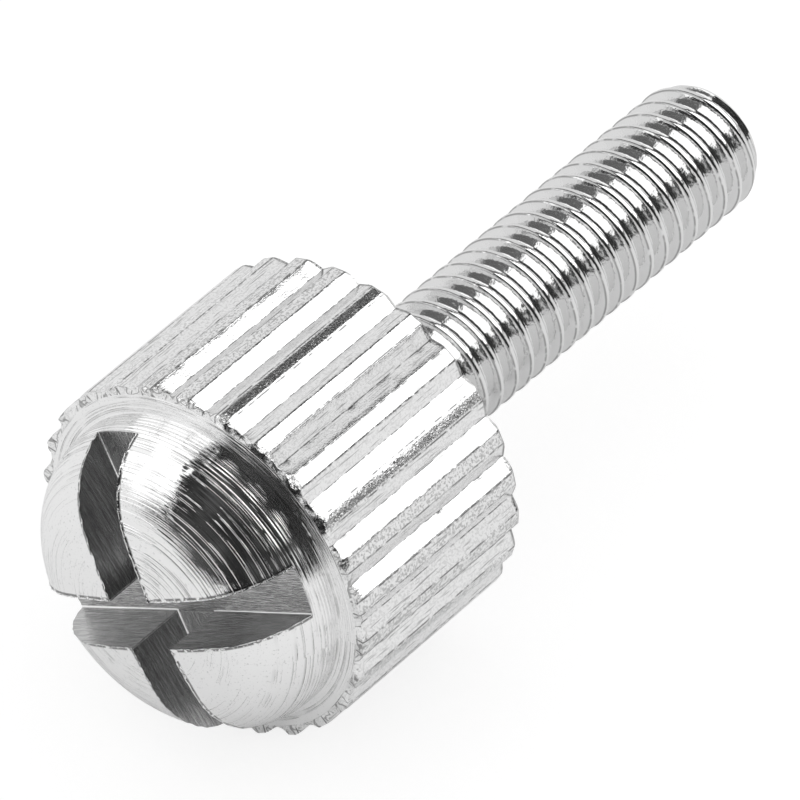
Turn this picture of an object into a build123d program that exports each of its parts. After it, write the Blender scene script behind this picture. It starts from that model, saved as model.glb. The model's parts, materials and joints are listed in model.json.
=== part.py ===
"""Knurled thumb screw with a cross-slotted domed head.

One turned and plated piece.  The screw lies on its side on the ridges of its grip:
+X runs along the axis towards the tip, +Z is up, and the origin is the centre of the
flat face under the head.
"""

import os
from math import cos, degrees, radians, sin, sqrt

from build123d import *

# ---------------------------------------------------------------- driving dimensions, mm, degrees
# Shank: an M3 x 0.5 thread is rolled on it, so it has the size over the thread's crests.
thread_major_diameter = 2.95
shank_length = 11.65
tip_end_diameter = 2.5
tip_taper_length = 0.45

# Grip: straight-knurled along its whole length, with each ridge dying into the end chamfers.
# A ridge has a narrow land on top, a touch higher along its middle, and two straight flanks
# that run down to sharp valleys.
grip_diameter = 8.2
grip_length = 5.0
ridge_count = 26
ridge_height = 0.18
ridge_land_width = 0.3
land_crown = 0.01
front_chamfer_length = 0.05
front_chamfer_width = 0.1
back_chamfer = 0.05

# Dome on the front of the grip.
dome_diameter = 6.96
dome_height = 2.1
crown_radius = 14.0
shoulder_radius = 1.75

# Cross slot for a screwdriver or a coin.  The long slot misses the axis a little.
slot_width = 1.1
slot_depth = 1.45
slot_direction = -28.5
long_slot_offset = -0.19

# ---------------------------------------------------------------- worked-out sizes
grip_radius = grip_diameter / 2
valley_radius = grip_radius - ridge_height
shank_radius = thread_major_diameter / 2
dome_radius = dome_diameter / 2
front_face_x = -grip_length
crown_x = front_face_x - dome_height
tip_x = shank_length
# How far the crown's arc falls back by the time that it reaches the dome's side.
crown_drop = crown_radius - sqrt(crown_radius**2 - dome_radius**2)

ridge_step = 360 / ridge_count
land_half_angle = degrees(ridge_land_width / 2 / grip_radius)
land_edge_radius = grip_radius - land_crown
# A valley faces straight down, so the screw stands on the two ridges beside it.
lowest_valley = -90.0


def around(radius, angle):
    """Point of the YZ section at this radius and angle, counted from +Y towards +Z."""
    return (radius * cos(radians(angle)), radius * sin(radians(angle)))


with BuildPart() as thumb_screw:
    # Ridged bar: the grip's section is a ring of flat-topped ridges that meet in sharp valleys.
    with BuildSketch(Plane.YZ.offset(front_face_x)):
        with BuildLine():
            for ridge in range(ridge_count):
                valley = lowest_valley + ridge * ridge_step
                crest = valley + ridge_step / 2
                land_start = around(land_edge_radius, crest - land_half_angle)
                land_end = around(land_edge_radius, crest + land_half_angle)
                Line(around(valley_radius, valley), land_start)
                ThreePointArc(land_start, around(grip_radius, crest), land_end)
                Line(land_end, around(valley_radius, valley + ridge_step))
        make_face()
    extrude(amount=grip_length)

    # The bar is turned to the grip's chamfered envelope.
    with BuildSketch(Plane.XY):
        with BuildLine():
            Polyline(
                (front_face_x, 0),
                (front_face_x, grip_radius - front_chamfer_width),
                (front_face_x + front_chamfer_length, grip_radius),
                (-back_chamfer, grip_radius),
                (0, grip_radius - back_chamfer),
                (0, 0),
                close=True,
            )
        make_face()
    revolve(axis=Axis.X, mode=Mode.INTERSECT)

    # Dome: a short straight side, a round shoulder and a slightly crowned top.
    with BuildSketch(Plane.XY) as dome_section:
        with BuildLine():
            RadiusArc((crown_x, 0), (crown_x + crown_drop, dome_radius), crown_radius)
            Polyline(
                (crown_x + crown_drop, dome_radius),
                (front_face_x, dome_radius),
                (front_face_x, 0),
                (crown_x, 0),
            )
        make_face()
        dome_rim = dome_section.vertices().group_by(Axis.Y)[-1].sort_by(Axis.X)[0]
        fillet(dome_rim, radius=shoulder_radius)
    revolve(axis=Axis.X)

    # Shank, with the tapered lead-in at its tip.
    with BuildSketch(Plane.XY):
        with BuildLine():
            Polyline(
                (front_face_x, 0),
                (front_face_x, shank_radius),
                (tip_x - tip_taper_length, shank_radius),
                (tip_x, tip_end_diameter / 2),
                (tip_x, 0),
                close=True,
            )
        make_face()
    revolve(axis=Axis.X)

    # Two flat-floored slots across the dome, milled straight through from side to side.
    with BuildSketch(Plane.YZ.offset(crown_x)):
        with Locations(around(long_slot_offset, slot_direction + 90)):
            Rectangle(dome_diameter, slot_width, rotation=slot_direction)
        Rectangle(slot_width, dome_diameter, rotation=slot_direction)
    extrude(amount=slot_depth, mode=Mode.SUBTRACT)

thumb_screw.part.label = "thumb_screw"

os.makedirs("parts", exist_ok=True)
export_step(thumb_screw.part, "parts/thumb_screw.step")
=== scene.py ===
"""Looks of the knurled thumb screw: the turned, knurled, slotted and threaded piece as one closed
mesh with a bright nickel finish, the studio that it mirrors, a white table and the camera.

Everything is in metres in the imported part's frame: +X runs along the axis towards the tip, +Z is
up, and the origin is the centre of the flat face under the head.
"""

import json
from collections import namedtuple
from math import asin, atan2, ceil, cos, inf, pi, radians, sin, sqrt, tan, tau

import bmesh
import bpy
import numpy as np
from mathutils import Matrix, Vector, noise


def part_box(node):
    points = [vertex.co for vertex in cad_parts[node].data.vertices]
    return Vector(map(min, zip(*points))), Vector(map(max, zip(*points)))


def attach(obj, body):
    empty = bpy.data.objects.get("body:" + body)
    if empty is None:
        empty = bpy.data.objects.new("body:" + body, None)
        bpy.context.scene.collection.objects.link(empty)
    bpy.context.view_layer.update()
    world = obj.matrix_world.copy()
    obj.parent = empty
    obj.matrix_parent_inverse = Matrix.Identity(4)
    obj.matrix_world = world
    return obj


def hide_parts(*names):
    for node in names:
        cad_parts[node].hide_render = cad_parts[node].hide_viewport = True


MM = 0.001

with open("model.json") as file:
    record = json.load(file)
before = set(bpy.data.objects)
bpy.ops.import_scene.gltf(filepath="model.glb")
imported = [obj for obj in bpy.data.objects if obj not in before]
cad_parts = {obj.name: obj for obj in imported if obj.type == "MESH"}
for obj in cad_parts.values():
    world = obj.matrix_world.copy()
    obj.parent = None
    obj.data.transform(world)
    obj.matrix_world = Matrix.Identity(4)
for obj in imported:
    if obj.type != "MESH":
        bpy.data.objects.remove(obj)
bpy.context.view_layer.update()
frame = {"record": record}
_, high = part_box("thumb_screw")
mounts = {mount["name"]: mount for mount in frame["record"]["mounts"]}

# ---------------------------------------------------------------- sizes
# Grip: ridges with a narrow land on top, straight flanks and sharp valleys.
grip_length = 5.0 * MM
grip_radius = high.y
ridge_count = 26
ridge_height = 0.18 * MM
land_width = 0.3 * MM
land_rounding = 0.03 * MM
land_unevenness = 0.006 * MM
back_rounding = 0.07 * MM
# How far back from the ridges' front ends the rolls left ragged metal, and how far it stands out.
burr_length = 0.28 * MM
burr_height = 0.1 * MM
# How far behind the lands' front ends the valleys start.
valley_start = 0.075 * MM

# Dome and the groove that the turning tool left around its foot.
dome_radius = 3.48 * MM
dome_height = 2.1 * MM
crown_radius = 14.0 * MM
shoulder_radius = 1.75 * MM
groove_width = 0.13 * MM
groove_depth = 0.05 * MM
# How far the flat ring round the groove falls back by the time that it reaches the ridges.
ring_drop = 0.015 * MM

# Cross slot.
slot_width = 1.1 * MM
slot_floor_x = mounts["cross_slot"]["pos_m"][0]
slot_corner_radius = 0.035 * MM
# How far the slots' torn rims stand off the dome.
slot_burr = 0.035 * MM
slot_direction = radians(-28.5)
long_slot_offset = -0.19 * MM

# Thread.
thread_radius = mounts["thread"]["dims"]["r_mm"] * MM
thread_pitch = 0.5 * MM
thread_depth = 0.27 * MM
crest_width = 0.115 * MM
crest_rounding = 0.05 * MM
root_rounding = 0.04 * MM
thread_unevenness = 0.006 * MM
thread_half_angle = radians(27.5)
root_width = thread_pitch - crest_width - 2 * thread_depth * tan(thread_half_angle)
full_thread_length = mounts["thread"]["dims"]["length_mm"] * MM
tip_x = high.x
tip_end_radius = 1.25 * MM
# Where the thread's root passes the +Y side, counted along the axis.
root_phase = 0.31 * MM

front_x = -grip_length
valley_radius = grip_radius - ridge_height
front_ring_radius = valley_radius - 0.04 * MM

# How the mesh is divided.
GRIP_ROW_STEP = 0.12 * MM
FRONT_RING_STEPS = 6
DOME_SIDES = 192
SHOULDER_STEPS = 34
CROWN_STEPS = 14
CORNER_STEPS = 5
THREAD_SIDES = 96
SHARP_EDGE = radians(33)
MERGE_DISTANCE = 0.0005 * MM

# Material slots of the mesh, in the order of the list of finishes.
TURNED, KNURLED, MILLED, ROLLED, WORN = range(5)


# ---------------------------------------------------------------- small helpers
def around(x, radius, angle):
    """Point at this place along the axis, radius and angle, counted from +Y towards +Z."""
    return Vector((x, radius * cos(angle), radius * sin(angle)))


def angle_of(vert):
    """Angle of a vertex round the axis, counted from +Y towards +Z."""
    return atan2(vert.co.z, vert.co.y)


def ring(mesh, points):
    """New vertices of the mesh at these points."""
    return [mesh.verts.new(point) for point in points]


def join_rings(mesh, first, second, material):
    """Quads between two rings of the same count."""
    count = len(first)
    for i in range(count):
        after = (i + 1) % count
        face = mesh.faces.new((first[i], first[after], second[after], second[i]))
        face.material_index = material


def zip_rings(mesh, first, second, material):
    """Triangles between two rings of different counts, made by walking round both together."""
    loops = [sorted(loop, key=angle_of) for loop in (first, second)]
    at = [0, 0]

    def next_angle(side):
        loop = loops[side]
        if at[side] == len(loop):
            return inf
        turns, i = divmod(at[side] + 1, len(loop))
        return angle_of(loop[i]) + turns * tau

    while at[0] < len(loops[0]) or at[1] < len(loops[1]):
        side = 0 if next_angle(0) <= next_angle(1) else 1
        here, there = loops[side], loops[1 - side]
        corners = (
            here[at[side] % len(here)],
            here[(at[side] + 1) % len(here)],
            there[at[1 - side] % len(there)],
        )
        mesh.faces.new(corners).material_index = material
        at[side] += 1


def soft_min(a, b, blend):
    """The smaller of two values, rounded where they meet."""
    mix = max(blend - abs(a - b), 0.0) / blend
    return min(a, b) - mix * mix * blend / 4


def grain(point, size, seed=0.0):
    """Smooth noise from -1 to 1 with blobs of about this size."""
    return noise.noise(Vector(point) / size + Vector((seed, 17.0 * seed, -9.0 * seed)))


# ---------------------------------------------------------------- grip
ridge_step = tau / ridge_count
land_half_angle = land_width / 2 / grip_radius
valley_half_angle = ridge_step / 2

# The flank's straight line, as its distance from the axis and the direction of its normal.
land_edge = Vector((cos(land_half_angle), sin(land_half_angle))) * grip_radius
valley_point = Vector((cos(valley_half_angle), sin(valley_half_angle))) * valley_radius
flank_run = (valley_point - land_edge).normalized()
flank_normal_angle = atan2(-flank_run.x, flank_run.y)
flank_distance = land_edge.dot(Vector((cos(flank_normal_angle), sin(flank_normal_angle))))


def section_radius(angle):
    """Radius of the knurled section at an angle from a ridge's middle."""
    flank = flank_distance / cos(flank_normal_angle - abs(angle))
    return soft_min(grip_radius, flank, land_rounding)


def ridge_stations():
    """Angles from a ridge's middle at which the mesh has lines, close together at land edges."""
    rounding = 0.05 * MM / grip_radius
    land = [0.35 * land_half_angle, 0.65 * land_half_angle]
    edge = np.linspace(land_half_angle - rounding, land_half_angle + rounding, 5)
    flank = np.linspace(land_half_angle + rounding, valley_half_angle, 5)[1:-1]
    half = [*land, *edge, *flank]
    return [-angle for angle in reversed(half)] + [0.0] + half + [valley_half_angle]


def grip_rows():
    """Places along the grip of the mesh's rings, close together at both ends."""
    front = front_x + burr_length * np.array([0.0, 0.1, 0.2, 0.33, 0.48, 0.66, 0.85])
    back = -back_rounding * np.array([1.4, 1.0, 0.6, 0.3, 0.1, 0.0])
    count = ceil((back[0] - front[-1]) / GRIP_ROW_STEP)
    return [*front, *np.linspace(front[-1], back[0], count + 1)[1:-1], *back]


def grip_ring(x):
    """The grip's section at x, with uneven lands and ragged front ends, as the rolls leave them."""
    points = []
    near_front = max(0.0, 1 - (x - front_x) / burr_length) ** 2
    past_back = max(0.0, x + back_rounding)
    back_limit = grip_radius - back_rounding + sqrt(back_rounding**2 - past_back**2)
    # Metal pushed into the valleys fills them to this radius at most.
    fill_radius = grip_radius - 0.05 * MM
    for ridge in range(ridge_count):
        middle = -pi / 2 + (ridge + 0.5) * ridge_step
        for station in ridge_stations():
            angle = middle + station
            base = around(x, grip_radius, angle)
            crest = max(0.0, 1 - abs(station) / (2.2 * land_half_angle))
            # The land's edges wander a little along the ridge, and its top is uneven.
            wander = 1 + 0.06 * grain((x * 0.5, ridge * MM, 0), 0.14 * MM)
            radius = section_radius(station * wander)
            radius += land_unevenness * crest * grain(base, 0.13 * MM, 3.0)
            # Metal pushed out at the front end stands in lumps and fills a part of the valleys,
            # which start behind it.
            filled = 0.35 + 0.25 * grain(base, 0.3 * MM, 6.0)
            radius += near_front * filled * (fill_radius - radius)
            radius += burr_height * near_front * (0.15 * grain(base, 0.17 * MM, 5.0) - 0.05)
            lump = max(0.0, 0.35 + grain(base, 0.19 * MM, 8.0))
            shift = near_front * (valley_start * (1 - crest) ** 2 - burr_height * lump * crest)
            radius = min(radius, grip_radius, back_limit)
            points.append(around(x + shift, radius, angle))
    return points


# ---------------------------------------------------------------- dome and slots
def dome_profile():
    """(x, radius) points from the dome's foot to its pole."""
    crown_x = front_x - dome_height
    crown_centre = crown_x + crown_radius
    shoulder_x = crown_centre - sqrt(
        (crown_radius - shoulder_radius) ** 2 - (dome_radius - shoulder_radius) ** 2
    )
    shoulder_start = asin((dome_radius - shoulder_radius) / (crown_radius - shoulder_radius))
    points = [(x, dome_radius) for x in np.linspace(front_x - groove_depth, shoulder_x, 5)[:-1]]
    for turn in np.linspace(pi / 2, shoulder_start, SHOULDER_STEPS):
        x = shoulder_x - shoulder_radius * cos(turn)
        points.append((x, dome_radius - shoulder_radius + shoulder_radius * sin(turn)))
    for turn in np.linspace(shoulder_start, 0, CROWN_STEPS)[1:-1]:
        points.append((crown_centre - crown_radius * cos(turn), crown_radius * sin(turn)))
    return points, crown_x


def dome_mesh():
    """The dome as a closed body with a flat base cap."""
    mesh = bmesh.new()
    profile, crown_x = dome_profile()
    angles = [tau * i / DOME_SIDES for i in range(DOME_SIDES)]
    rings = [ring(mesh, [around(x, radius, angle) for angle in angles]) for x, radius in profile]
    for first, second in zip(rings, rings[1:]):
        join_rings(mesh, second, first, TURNED)
    pole = mesh.verts.new((crown_x, 0, 0))
    last = rings[-1]
    for i, vert in enumerate(last):
        mesh.faces.new((vert, pole, last[(i + 1) % DOME_SIDES])).material_index = TURNED
    mesh.faces.new(list(reversed(rings[0]))).material_index = TURNED
    bmesh.ops.recalc_face_normals(mesh, faces=mesh.faces)
    return mesh


def slot_cutter(centre, direction):
    """A long bar with its two inner edges rounded, which cuts one slot across the dome."""
    mesh = bmesh.new()
    half = slot_width / 2
    corner = slot_corner_radius
    # The bar's section, as (depth, width) points: its open side stands well clear of the dome.
    outline = [Vector((-2 * dome_height, -half)), Vector((-2 * dome_height, half))]
    for side in (1, -1):
        turns = np.linspace(0, pi / 2, CORNER_STEPS)
        for turn in turns if side > 0 else reversed(turns):
            width = half - corner + corner * cos(turn)
            outline.append(Vector((-corner + corner * sin(turn), side * width)))
    along = Vector((0, cos(direction), sin(direction)))
    across = Vector((0, -sin(direction), cos(direction)))
    floor = Vector((slot_floor_x, 0, 0)) + centre
    ends = []
    for reach in (-1.3 * dome_radius, 1.3 * dome_radius):
        section = [floor + Vector((p.x, 0, 0)) + across * p.y + along * reach for p in outline]
        ends.append(ring(mesh, section))
    join_rings(mesh, ends[0], ends[1], MILLED)
    # The faces that round the floor's edges.
    for face in mesh.faces:
        middle = face.calc_center_median() - floor
        if -0.99 * corner < middle.x < -0.01 * corner and abs(middle.dot(along)) < dome_radius:
            face.material_index = WORN
    mesh.faces.new(ends[0]).material_index = MILLED
    mesh.faces.new(ends[1]).material_index = MILLED
    bmesh.ops.recalc_face_normals(mesh, faces=mesh.faces)
    return mesh


def as_object(name, mesh, materials=None):
    """A mesh as an object in the scene, with the screw's finishes unless told otherwise."""
    data = bpy.data.meshes.new(name)
    mesh.to_mesh(data)
    mesh.free()
    obj = bpy.data.objects.new(name, data)
    bpy.context.scene.collection.objects.link(obj)
    for material in materials or finishes:
        data.materials.append(material)
    return obj


def slotted_dome():
    """The dome with both slots cut, back as a bmesh."""
    dome = as_object("dome_blank", dome_mesh())
    across = Vector((0, cos(slot_direction + pi / 2), sin(slot_direction + pi / 2)))
    cutters = [
        as_object("long_cutter", slot_cutter(across * long_slot_offset, slot_direction)),
        as_object("short_cutter", slot_cutter(Vector(), slot_direction + pi / 2)),
    ]
    for cutter in cutters:
        cut = dome.modifiers.new(cutter.name, "BOOLEAN")
        cut.operation = "DIFFERENCE"
        cut.solver = "EXACT"
        cut.object = cutter
    graph = bpy.context.evaluated_depsgraph_get()
    mesh = bmesh.new()
    mesh.from_object(dome, graph)
    for obj in (dome, *cutters):
        bpy.data.objects.remove(obj)
    raise_burrs(mesh)
    return mesh


def raise_burrs(mesh):
    """Lifts the slots' rims unevenly off the dome."""
    mesh.normal_update()
    rim = []
    for vert in mesh.verts:
        turned = [face for face in vert.link_faces if face.material_index == TURNED]
        if turned and len(turned) < len(vert.link_faces):
            normal = sum((face.normal * face.calc_area() for face in turned), Vector()).normalized()
            rim.append((vert, normal))
    for vert, normal in rim:
        vert.co += normal * slot_burr * max(0.0, 0.4 + grain(vert.co, 0.11 * MM, 4.0))


# ---------------------------------------------------------------- thread
def thread_profile(share):
    """Radius of the thread at a share of the pitch, counted from the middle of the root."""
    from_root = abs((share + 0.5) % 1.0 - 0.5) * thread_pitch
    rise = (from_root - root_width / 2) / tan(thread_half_angle)
    height = soft_min(rise, thread_depth, crest_rounding)
    return thread_radius - thread_depth - soft_min(-height, 0.0, root_rounding)


def thread_stations():
    """Shares of the pitch at which the mesh has its lines, close together where it bends."""
    root = root_width / 2 / thread_pitch
    crest = 0.5 - crest_width / 2 / thread_pitch
    half = [0.6 * root, root, 1.5 * root, 0.5 * (root + crest)]
    half += [crest - 0.04, crest - 0.015, crest + 0.01, crest + 0.045]
    return [0.0, *half, 0.5, *(1 - share for share in reversed(half))]


def tip_envelope(x):
    """The tip's lead-in: the thread dies into a short rounded taper."""
    share = max(0.0, (x - full_thread_length) / (tip_x - full_thread_length))
    return thread_radius - (thread_radius - tip_end_radius) * share**1.4


def thread_point(x, angle):
    """Point of the slightly uneven thread, which is cut down to the lead-in at the tip."""
    share = (x - root_phase) / thread_pitch - angle / tau
    radius = min(thread_profile(share), tip_envelope(x))
    radius += thread_unevenness * grain(around(x, thread_radius, angle), 0.22 * MM, 2.0)
    return around(x, min(radius, thread_radius), angle)


def add_thread(mesh):
    """The threaded shank from the bearing face to the tip, open at both ends."""
    stations = thread_stations()
    angles = [tau * i / THREAD_SIDES for i in range(THREAD_SIDES)]
    rows = []
    # The spare turns at both ends are pressed onto the end's plane, and merged later.
    for turn in range(-2, ceil(tip_x / thread_pitch) + 2):
        for share in stations:
            start = root_phase + (turn + share) * thread_pitch
            points = []
            for angle in angles:
                x = start + thread_pitch * angle / tau
                points.append(thread_point(min(max(x, 0.0), tip_x), angle))
            rows.append(ring(mesh, points))
    # A row's last point is followed by the first one of the row that lies one turn further on.
    turn_rows = len(stations)
    for row in range(len(rows) - 1):
        this, after = rows[row], rows[row + 1]
        quads = [(this[i], this[i + 1], after[i + 1], after[i]) for i in range(THREAD_SIDES - 1)]
        if row + turn_rows + 1 < len(rows):
            next_turn = rows[row + turn_rows][0], rows[row + turn_rows + 1][0]
            quads.append((this[-1], *next_turn, after[-1]))
        for quad in quads:
            mesh.faces.new(quad).material_index = ROLLED


# ---------------------------------------------------------------- shader nodes
class Graph:
    """Short calls for the shader nodes that the materials and the world use."""

    def __init__(self, tree):
        self.nodes = tree.nodes
        self.links = tree.links

    def put(self, socket, value):
        """Feeds an input from another node's socket, or sets it to a plain value."""
        if isinstance(value, bpy.types.NodeSocket):
            self.links.new(value, socket)
        else:
            socket.default_value = value

    def add(self, kind, *values, **settings):
        """A new node. Values go to its inputs in order, and None leaves one as it is."""
        node = self.nodes.new("ShaderNode" + kind)
        for name, value in settings.items():
            setattr(node, name, value)
        for socket, value in zip(node.inputs, values):
            if value is not None:
                self.put(socket, value)
        return node

    def math(self, operation, *values):
        return self.add("Math", *values, operation=operation).outputs[0]

    def times(self, first, *others):
        """The product of all values."""
        for other in others:
            first = self.math("MULTIPLY", first, other)
        return first

    def most(self, first, *others):
        """The largest of all values."""
        for other in others:
            first = self.math("MAXIMUM", first, other)
        return first

    def minus(self, value, other):
        return self.math("SUBTRACT", value, other)

    def distance(self, value, place=0.0):
        """How far a value lies from a place, on either side of it."""
        return self.math("ABSOLUTE", self.minus(value, place))

    def rise(self, value, start, end):
        """0 up to start, 1 from end on, and smooth between them. It falls if start is past end."""
        settings = {"interpolation_type": "SMOOTHSTEP"}
        return self.add("MapRange", value, start, end, 0.0, 1.0, **settings).outputs[0]

    def between(self, value, start, end, soft):
        """1 from start to end and 0 outside, with edges this soft."""
        up = self.rise(value, start - soft, start + soft)
        down = self.rise(value, end + soft, end - soft)
        return self.times(up, down)

    def blend(self, share, first, second):
        """A number between two others."""
        return self.add("Mix", share, None, first, second, data_type="FLOAT").outputs[0]

    def blend_vectors(self, share, first, second):
        """A vector between two others."""
        values = (share, None, None, None, first, second)
        return self.add("Mix", *values, data_type="VECTOR").outputs[1]

    def vector(self, x, y, z):
        return self.add("CombineXYZ", x, y, z).outputs[0]

    def noise(self, vector, scale, detail=2.0, roughness=0.5):
        """Noise round 0.5, seldom under 0.3 or over 0.7, with this many blobs to a metre."""
        node = self.add("TexNoise", noise_dimensions="3D")
        self.put(node.inputs["Vector"], vector)
        self.put(node.inputs["Scale"], scale)
        self.put(node.inputs["Detail"], detail)
        self.put(node.inputs["Roughness"], roughness)
        return node.outputs[0]

    def bump(self, height, depth, before=None):
        """A bump whose height of 1 stands this far off the surface, on top of the one before."""
        node = self.add("Bump")
        node.inputs["Strength"].default_value = 1.0
        node.inputs["Distance"].default_value = depth
        self.put(node.inputs["Height"], height)
        if before is not None:
            self.put(node.inputs["Normal"], before)
        return node.outputs[0]


# ---------------------------------------------------------------- finishes
# Marks in the metal, each with its size along the surface and its depth.
Mark = namedtuple("Mark", "size depth")
FINE_RINGS = Mark(0.04 * MM, 0.008 * MM)
DEEP_RINGS = Mark(0.07 * MM, 0.017 * MM)
FEED_MARKS = Mark(0.09 * MM, 0.0033 * MM)
DOME_DENTS = Mark(0.14 * MM, 0.005 * MM)
SLOT_LIP = Mark(0.05 * MM, 0.035 * MM)
GRIP_GRAIN = Mark(0.05 * MM, 0.0018 * MM)
LAND_PITS = Mark(0.06 * MM, 0.003 * MM)
TORN_METAL = Mark(0.08 * MM, 0.012 * MM)
BRUSHED_LINES = Mark(0.032 * MM, 0.011 * MM)
THREAD_DENTS = Mark(0.09 * MM, 0.004 * MM)
CORNER_DENTS = Mark(0.2 * MM, 0.004 * MM)

# How dark each kind of dirt, stain or painted shade is, from 0 for bright metal to 1 for full
# darkening, and how much of the plating's brightness full darkening leaves.
RING_DIRT = 0.3
# Painted shade beside the slots' lips.
RIM_SHADE = 0.85
DOME_SPECKS = 0.35
# Painted shade at the lands' edges and in the valleys.
SEAM_SHADE = 0.92
# Painted shade along the outlines of the torn lumps.
TORN_SHADE = 0.7
STREAKS = 0.58
FLANK_SPECKS = 0.18
LAND_SPECKS = 0.5
SLOT_DIRT = 0.5
# Painted shade at the thread's roots and crest edges.
THREAD_SHADE = 0.62
CORNER_DIRT = 0.1
DARKEST_SHARE = 0.16


class Surface(Graph):
    """Nodes of one finish, with the place on the screw that its marks depend on."""

    def __init__(self, tree):
        super().__init__(tree)
        self.place = self.add("TexCoord").outputs["Object"]
        self.x, self.y, self.z = self.add("SeparateXYZ", self.place).outputs
        squares = [self.times(side, side) for side in (self.y, self.z)]
        self.radius = self.math("SQRT", self.math("ADD", *squares))
        self.angle = self.math("ARCTAN2", self.z, self.y)
        turned = self.add("Mapping", self.place, vector_type="POINT")
        turned.inputs["Rotation"].default_value = (-slot_direction, 0, 0)
        _, self.along_slot, self.across_slot = self.add("SeparateXYZ", turned.outputs[0]).outputs

    def from_long_slot(self):
        """Distance from the long slot's middle plane."""
        return self.distance(self.across_slot, long_slot_offset)

    def from_short_slot(self):
        """Distance from the short slot's middle plane."""
        return self.distance(self.along_slot)

    def blobs(self, size, detail=2.0, roughness=0.5):
        """Noise with the same grain in all directions."""
        return self.noise(self.place, 1 / size, detail, roughness)

    def specks(self, size, start, end):
        """1 on scattered specks of about this size, 0 between them."""
        return self.rise(self.blobs(size, 2.0, 0.6), start, end)

    def line(self, distance, width):
        """1 where a distance is about zero, 0 from this width on."""
        return self.rise(self.math("ABSOLUTE", distance), width, 0.3 * width)


def metal(name, finish, tint, roughness):
    """Bright nickel plating. finish(surface) gives its normal and how much it is darkened there, 0
    to 1, by stains and by painted shade.
    """
    material = bpy.data.materials.new(name)
    material.use_nodes = True
    surface = Surface(material.node_tree)
    shader = surface.nodes["Principled BSDF"]
    shader.inputs["Metallic"].default_value = 1
    shader.inputs["Roughness"].default_value = roughness
    normal, darkening = finish(surface)
    level = surface.blend(darkening, tint, DARKEST_SHARE * tint)
    surface.put(shader.inputs["Normal"], normal)
    surface.put(shader.inputs["Base Color"], surface.vector(level, level, level))
    return material


def turned_finish(surface):
    """Rings that the tool left round the axis, feed marks, small dents and the slots' rims, with
    painted shade beside the rims. Some rings are deeper: these come and go, and near the dome's
    foot a little grime stays in them."""
    radius = surface.radius
    rings = surface.vector(surface.x, radius, surface.times(surface.angle, 0.05 * MM))
    off_crown = surface.rise(radius, 0.35 * dome_radius, 0.75 * dome_radius)
    off_crown = surface.blend(off_crown, 0.55, 1.0)
    near_foot = surface.rise(radius, 0.75 * dome_radius, dome_radius)

    # Fine rings, strongest on the flat ring round the dome.
    fine = surface.noise(rings, 1 / FINE_RINGS.size, 2.0, 0.6)
    on_ring = surface.rise(radius, dome_radius + 0.03 * MM, dome_radius + 0.09 * MM)
    strength = surface.blend(on_ring, off_crown, 2.2)
    normal = surface.bump(surface.times(fine, strength), FINE_RINGS.depth)

    # Regular feed marks round the dome's side.
    feed = surface.math("SINE", surface.times(surface.x, tau / FEED_MARKS.size))
    on_side = surface.rise(radius, 0.9 * dome_radius, 0.97 * dome_radius)
    normal = surface.bump(surface.times(feed, on_side), FEED_MARKS.depth, normal)

    # Deeper rings.
    coarse = surface.noise(rings, 1 / DEEP_RINGS.size, 1.0)
    comes_and_goes = surface.rise(surface.blobs(0.7 * MM), 0.3, 0.55)
    deep = surface.times(surface.rise(coarse, 0.52, 0.64), comes_and_goes)
    normal = surface.bump(surface.times(deep, off_crown), DEEP_RINGS.depth, normal)

    # Dents, which fade out towards the foot.
    dents = surface.blobs(DOME_DENTS.size, 3.0, 0.6)
    dents = surface.times(dents, surface.blend(near_foot, 1.0, 0.0))
    normal = surface.bump(dents, DOME_DENTS.depth, normal)

    normal, rim_shade = slot_rims(surface, normal)
    ring_dirt = surface.times(deep, near_foot, RING_DIRT)
    specks = surface.times(surface.specks(0.05 * MM, 0.62, 0.7), DOME_SPECKS)
    return normal, surface.most(ring_dirt, rim_shade, specks)


def slot_rims(surface, normal):
    """Broken lips along both slots' rims on the dome, with lines of painted shade beside them, as
    if the lips cast it.
    """
    above_floor = surface.rise(surface.x, slot_floor_x + 0.02 * MM, slot_floor_x)
    broken = surface.times(above_floor, surface.specks(0.15 * MM, 0.38, 0.5))
    lip_shade = 0.0
    for from_middle in (surface.from_long_slot(), surface.from_short_slot()):
        from_rim = surface.minus(from_middle, slot_width / 2)
        lip = surface.times(surface.line(from_rim, SLOT_LIP.size), broken)
        normal = surface.bump(lip, SLOT_LIP.depth, normal)
        # Painted shade in a line beside each lip, as if the lip cast it.
        beside = surface.line(surface.minus(from_rim, SLOT_LIP.size), 0.04 * MM)
        lip_shade = surface.most(lip_shade, surface.times(beside, broken, RIM_SHADE))
    return normal, lip_shade


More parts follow.
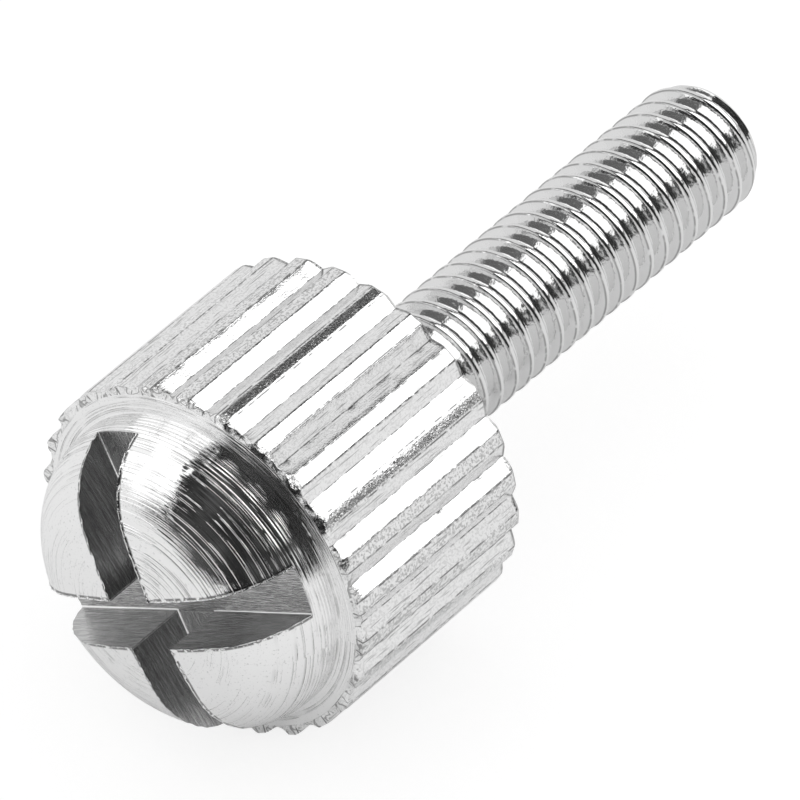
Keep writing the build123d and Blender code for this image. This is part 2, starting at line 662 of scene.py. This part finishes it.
def knurled_finish(surface):
    """Pitted lands with broken lines of painted shade at their edges, in the valleys and along the
    back edge, streaked flanks, and torn metal at both ends, with painted shade along the outlines
    of its lumps."""
    land = surface.rise(surface.radius, grip_radius - 0.03 * MM, grip_radius - 0.012 * MM)
    torn = surface.most(
        surface.rise(surface.x, front_x + burr_length, front_x + 0.1 * burr_length),
        surface.rise(surface.x, -0.12 * MM, -0.02 * MM),
    )
    normal = surface.bump(surface.blobs(GRIP_GRAIN.size, 2.0, 0.6), GRIP_GRAIN.depth)
    pits = surface.times(surface.blobs(LAND_PITS.size, 3.0, 0.6), land)
    normal = surface.bump(pits, LAND_PITS.depth, normal)
    ragged = surface.times(torn, surface.blobs(TORN_METAL.size, 3.0, 0.6))
    normal = surface.bump(ragged, TORN_METAL.depth, normal)

    # Painted shade in lines at the lands' edges and in the valleys, where the surface bends away,
    # by the distance from a ridge's middle.
    turns = surface.math("DIVIDE", surface.math("ADD", surface.angle, pi / 2), ridge_step)
    from_middle = surface.distance(surface.math("FRACT", turns), 0.5)
    across = surface.times(from_middle, ridge_step * grip_radius)
    edge = surface.line(surface.minus(across, land_width / 2), 0.026 * MM)
    valley = surface.line(surface.minus(across, ridge_step * grip_radius / 2), 0.02 * MM)
    broken = surface.specks(0.22 * MM, 0.36, 0.56)
    seam_shade = surface.times(surface.most(edge, valley), broken, SEAM_SHADE)
    # Painted shade along the back edge, where the ridges round over into the flat face.
    back_edge = surface.line(surface.math("ADD", surface.x, 0.03 * MM), 0.05 * MM)
    back_edge = surface.times(back_edge, surface.blend(broken, 0.45, 0.8))

    # Painted shade lies along the outlines of blobs on the torn ends, and the ridges are stained in
    # streaks.
    outlines = surface.line(surface.minus(surface.blobs(0.3 * MM, 1.0), 0.5), 0.04)
    torn_shade = surface.times(torn, outlines, TORN_SHADE)
    along_ridge = surface.vector(surface.times(surface.x, 0.06), surface.y, surface.z)
    streaks = surface.rise(surface.noise(along_ridge, 1 / (0.04 * MM), 2.0), 0.56, 0.7)
    streaks = surface.times(streaks, STREAKS)
    specks = surface.specks(0.055 * MM, 0.45, 0.62)
    specks = surface.times(specks, surface.blend(land, FLANK_SPECKS, LAND_SPECKS))
    return normal, surface.most(seam_shade, back_edge, torn_shade, streaks, specks)


def milled_finish(surface):
    """Brushed lines along each slot, on its floor and slightly aslant on its walls."""
    # How much of a line's length the noise sees, and how far the lines lean on the walls.
    stretch, slant = 0.05, 0.12
    along, across = surface.along_slot, surface.across_slot
    long_x = surface.math("ADD", surface.x, surface.times(along, slant))
    short_x = surface.math("ADD", surface.x, surface.times(across, slant))
    outside_long = surface.rise(
        surface.from_long_slot(), slot_width / 2 + 0.02 * MM, slot_width / 2 + 0.04 * MM
    )
    lines = surface.blend_vectors(
        outside_long,
        surface.vector(long_x, surface.times(along, stretch), across),
        surface.vector(short_x, along, surface.times(across, stretch)),
    )
    brushed = surface.noise(lines, 1 / BRUSHED_LINES.size, 3.0, 0.65)
    darkening = surface.times(surface.rise(brushed, 0.35, 0.65), SLOT_DIRT)
    return surface.bump(brushed, BRUSHED_LINES.depth), darkening


def rolled_finish(surface):
    """Small dents, and lines of painted shade at the roots and the crests' edges, where the thread
    bends away.
    """
    normal = surface.bump(surface.blobs(THREAD_DENTS.size), THREAD_DENTS.depth)
    turns = surface.math("DIVIDE", surface.minus(surface.x, root_phase), thread_pitch)
    share = surface.minus(turns, surface.math("DIVIDE", surface.angle, tau))
    share = surface.math("FRACT", surface.math("ADD", share, 0.5))
    from_root = surface.times(surface.distance(share, 0.5), thread_pitch)
    # Painted shade in lines at the crests' edges and the roots.
    crest_edge = surface.minus(from_root, (thread_pitch - crest_width) / 2)
    seam_shade = surface.most(surface.line(crest_edge, 0.022 * MM), surface.line(from_root, 0.05 * MM))
    return normal, surface.times(seam_shade, surface.specks(0.25 * MM, 0.3, 0.5), THREAD_SHADE)


def worn_finish(surface):
    """The slots' inner corners, which the cutter's edge left smooth and bright."""
    normal = surface.bump(surface.blobs(CORNER_DENTS.size), CORNER_DENTS.depth)
    return normal, surface.times(surface.blobs(0.1 * MM), CORNER_DIRT)


# In the order of the material slots TURNED, KNURLED, MILLED, ROLLED and WORN.
finishes = [
    metal("nickel_turned", turned_finish, tint=0.88, roughness=0.10),
    metal("nickel_knurled", knurled_finish, tint=0.88, roughness=0.10),
    # The slots' plating has a darker tint than the rest: painted shade in the slots.
    metal("nickel_milled", milled_finish, tint=0.6, roughness=0.2),
    # The thread's plating has a darker tint than the head's: painted shade that dims everything the
    # thread mirrors.
    metal("nickel_rolled", rolled_finish, tint=0.77, roughness=0.10),
    metal("nickel_worn", worn_finish, tint=0.95, roughness=0.12),
]


# ---------------------------------------------------------------- the screw
def add_grip(mesh, foot):
    """The grip from the dome's foot to the inside of its back face. Returns its last ring."""
    rings = [ring(mesh, grip_ring(x)) for x in grip_rows()]
    for first, second in zip(rings, rings[1:]):
        join_rings(mesh, second, first, KNURLED)

    # Front ring, from the ridges' ends to the groove at the dome's foot.
    outer = rings[0]
    angles = [angle_of(vert) for vert in outer]
    inner_radius = dome_radius + groove_width
    for share in np.linspace(1.0, 0.0, FRONT_RING_STEPS):
        x = front_x + ring_drop * share**2
        radius = inner_radius + share * (front_ring_radius - inner_radius)
        inner = ring(mesh, [around(x, radius, angle) for angle in angles])
        join_rings(mesh, outer, inner, KNURLED if share == 1.0 else TURNED)
        outer = inner
    zip_rings(mesh, outer, foot, TURNED)

    # Back face.
    outer = rings[-1]
    angles = [angle_of(vert) for vert in outer]
    for radius in (valley_radius - 0.05 * MM, valley_radius - 0.2 * MM, thread_radius + 0.1 * MM):
        inner = ring(mesh, [around(0, radius, angle) for angle in angles])
        join_rings(mesh, outer, inner, TURNED)
        outer = inner
    return outer


def add_shank(mesh, back_ring):
    """The thread, joined to the grip's back face and closed at the tip."""
    before = set(mesh.verts)
    add_thread(mesh)
    shank = [vert for vert in mesh.verts if vert not in before]
    bmesh.ops.remove_doubles(mesh, verts=shank, dist=MERGE_DISTANCE)
    loose = [vert for vert in mesh.verts if not vert.link_faces]
    bmesh.ops.delete(mesh, geom=loose, context="VERTS")
    open_ends = [vert for vert in mesh.verts if vert not in before and vert.is_boundary]
    zip_rings(mesh, back_ring, [vert for vert in open_ends if vert.co.x < tip_x / 2], TURNED)
    tip = sorted((vert for vert in open_ends if vert.co.x > tip_x / 2), key=angle_of)
    mesh.faces.new(tip).material_index = TURNED


def make_screw():
    """The whole screw as one closed mesh."""
    mesh = slotted_dome()
    # The dome's base cap goes, so that its rim can be joined to the grip.
    base_x = front_x - groove_depth
    on_base = {vert for vert in mesh.verts if abs(vert.co.x - base_x) < MERGE_DISTANCE}
    cap = [face for face in mesh.faces if on_base.issuperset(face.verts)]
    bmesh.ops.delete(mesh, geom=cap, context="FACES_ONLY")
    back_ring = add_grip(mesh, [vert for vert in mesh.verts if vert.is_boundary])
    add_shank(mesh, back_ring)
    bmesh.ops.recalc_face_normals(mesh, faces=mesh.faces)
    return as_object("thumb_screw_finish", mesh)


screw = make_screw()
screw.data.shade_smooth()
screw.data.set_sharp_from_angle(angle=SHARP_EDGE)
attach(screw, "root")
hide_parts("thumb_screw")


# ---------------------------------------------------------------- table
TABLE_REACH = 0.6
TABLE_PAINT = 0.9
# The share of plain white that the camera sees in place of the table's shading, so that the
# screw's shadow stays light, and how bright this white is.
PLAIN_WHITE_SHARE = 0.72
PLAIN_WHITE = 1.1


def empty_graph(owner):
    """The node tree of a material or a world, with no nodes yet."""
    owner.use_nodes = True
    graph = Graph(owner.node_tree)
    graph.nodes.clear()
    return graph


def make_table():
    """A white table, which the screw lies on."""
    material = bpy.data.materials.new("white_table")
    graph = empty_graph(material)
    paint = graph.add("BsdfDiffuse", (TABLE_PAINT, TABLE_PAINT, TABLE_PAINT, 1)).outputs[0]
    white = graph.add("Emission", (1, 1, 1, 1), PLAIN_WHITE).outputs[0]
    share = graph.times(graph.add("LightPath").outputs["Is Camera Ray"], PLAIN_WHITE_SHARE)
    graph.add("OutputMaterial", graph.add("MixShader", share, paint, white).outputs[0])
    mesh = bmesh.new()
    bmesh.ops.create_grid(mesh, x_segments=1, y_segments=1, size=TABLE_REACH)
    table = as_object("table", mesh, [material])
    table.location = (0, 0, min(vert.co.z for vert in screw.data.vertices))


make_table()


# ---------------------------------------------------------------- studio
# The studio is white all round. The metal mirrors a softbox over the shank, its dark frame, a lit
# side wall and, round the camera, the unlit end of the room. Places in it are given as two angles
# in degrees, seen from the screw: out is counted from straight ahead of the dome, and turn round
# the axis from FACING. Three small cards stand close to the head: a white one beside it, a black
# one over it and a black one in front of it.
FACING = radians(34.615)
# How bright the parts look in the metal.
WALLS = 0.86
SIDE_WALL = 1.35
SOFTBOX = 2.0
DARK = 0.035
FRAME = 0.17
# The cards' distance from the axis, and where they start and end along it.
CARD_REACH = 15 * MM
CARD_FRONT = -14 * MM
CARD_BACK = 0.3 * MM
CARD_COLUMNS = 13
# Soft patches on a card are about this size. They go from a card's darkest to its lightest.
CARD_PATCHES = 5 * MM
WHITE_CARD = (SIDE_WALL, SIDE_WALL)
BLACK_CARD = (0.4 * DARK, 2.6 * DARK)


def make_card(name, turn_start, turn_end, outline, brightness):
    """A card bent round the head along an outline of (x, radius) points, which only the metal's
    reflections see. Its brightness is given as darkest and lightest."""
    material = bpy.data.materials.new(name)
    graph = empty_graph(material)
    place = graph.add("TexCoord").outputs["Object"]
    patches = graph.rise(graph.noise(place, 1 / CARD_PATCHES), 0.35, 0.7)
    strength = graph.blend(patches, *brightness)
    graph.add("OutputMaterial", graph.add("Emission", (1, 1, 1, 1), strength).outputs[0])
    mesh = bmesh.new()
    turns = np.linspace(turn_start, turn_end, CARD_COLUMNS)
    angles = [radians(turn) + pi / 2 + FACING for turn in turns]
    rows = [ring(mesh, [around(x, radius, angle) for angle in angles]) for x, radius in outline]
    for first, second in zip(rows, rows[1:]):
        for i in range(len(angles) - 1):
            mesh.faces.new((first[i], first[i + 1], second[i + 1], second[i]))
    card = as_object(name, mesh, [material])
    card.visible_camera = card.visible_diffuse = card.visible_shadow = False


card_side = [(CARD_FRONT, CARD_REACH), (CARD_BACK, CARD_REACH)]
card_front = [(CARD_FRONT, 0.01 * CARD_REACH), (CARD_FRONT, CARD_REACH)]
make_card("white_card", -96, -48, card_side, WHITE_CARD)
make_card("black_card", -48, 40, card_side, BLACK_CARD)
make_card("front_card", -48, 42, card_front, BLACK_CARD)


def make_world():
    """The studio as the metal mirrors it. All other light is an even white."""
    world = bpy.data.worlds.new("studio")
    bpy.context.scene.world = world
    graph = empty_graph(world)
    seen_from_screw = graph.add("TexCoord").outputs["Generated"]
    direction = graph.add("Mapping", seen_from_screw, vector_type="NORMAL")
    direction.inputs["Rotation"].default_value = (-FACING, 0, 0)
    ahead, across, up = graph.add("SeparateXYZ", direction.outputs[0]).outputs
    out = graph.math("DEGREES", graph.math("ARCCOSINE", graph.times(ahead, -1.0)))
    turn = graph.math("DEGREES", graph.math("ARCTAN2", graph.times(across, -1.0), up))

    def zone(turn_start, turn_end, out_start, out_end, turn_soft, out_soft):
        """1 inside a patch of the studio, 0 outside it, with soft edges."""
        return graph.times(
            graph.between(turn, turn_start, turn_end, turn_soft),
            graph.between(out, out_start, out_end, out_soft),
        )

    # The lit side wall.
    light = graph.blend(zone(-96, -47, 42, 84, 4, 5), WALLS, SIDE_WALL)
    # The unlit end of the room, from straight ahead of the dome to the softbox.
    light = graph.blend(zone(-110, 42, -20, 33, 7, 6), light, DARK)
    light = graph.blend(zone(-48, 52, -20, 100, 3, 3), light, DARK)
    light = graph.blend(graph.rise(out, 22, 8), light, DARK)
    # The softbox's dark frame.
    light = graph.blend(zone(-95, -46, 84, 113, 3, 2), light, FRAME)
    light = graph.blend(zone(-62, -46, 113, 160, 1.5, 2), light, 0.5 * FRAME)
    light = graph.blend(zone(12, 50, 95, 117, 2, 2), light, DARK)
    light = graph.blend(zone(24.5, 33, 117, 160, 1.5, 2), light, 0.5 * FRAME)
    # The softbox, which is wider towards its far end.
    light = graph.blend(zone(-49, 14, 100, 160, 1.5, 2), light, SOFTBOX)
    light = graph.blend(zone(-48, 25.5, 118, 160, 1.5, 1.5), light, SOFTBOX)

    mirrored = graph.add("LightPath").outputs["Is Glossy Ray"]
    strength = graph.blend(mirrored, 1.0, light)
    graph.add("OutputWorld", graph.add("Background", (1, 1, 1, 1), strength).outputs[0])


make_world()


# ---------------------------------------------------------------- camera
CAMERA_AZIMUTH = radians(-51.916)
CAMERA_ELEVATION = radians(41.785)
CAMERA_ROLL = radians(0.415)
CAMERA_AIM = Vector((1.228, -0.068, 0.0)) * MM
CAMERA_DISTANCE = 221.49 * MM
# Focal length and sensor width in millimetres, and the nearest distance that is drawn.
CAMERA_LENS = 493.3
CAMERA_SENSOR = 36
CAMERA_CLIP = 5 * MM


def make_camera():
    """A long lens at the photograph's angle."""
    data = bpy.data.cameras.new("camera")
    data.lens = CAMERA_LENS
    data.sensor_width = CAMERA_SENSOR
    data.clip_start = CAMERA_CLIP
    camera = bpy.data.objects.new("camera", data)
    bpy.context.scene.collection.objects.link(camera)
    back = Vector(
        (
            sin(CAMERA_AZIMUTH) * cos(CAMERA_ELEVATION),
            -cos(CAMERA_AZIMUTH) * cos(CAMERA_ELEVATION),
            sin(CAMERA_ELEVATION),
        )
    )
    turn = back.to_track_quat("Z", "Y").to_matrix() @ Matrix.Rotation(CAMERA_ROLL, 3, "Z")
    camera.matrix_world = Matrix.Translation(CAMERA_AIM + back * CAMERA_DISTANCE) @ turn.to_4x4()
    bpy.context.scene.camera = camera


make_camera()
bpy.context.scene.view_settings.view_transform = "Standard"
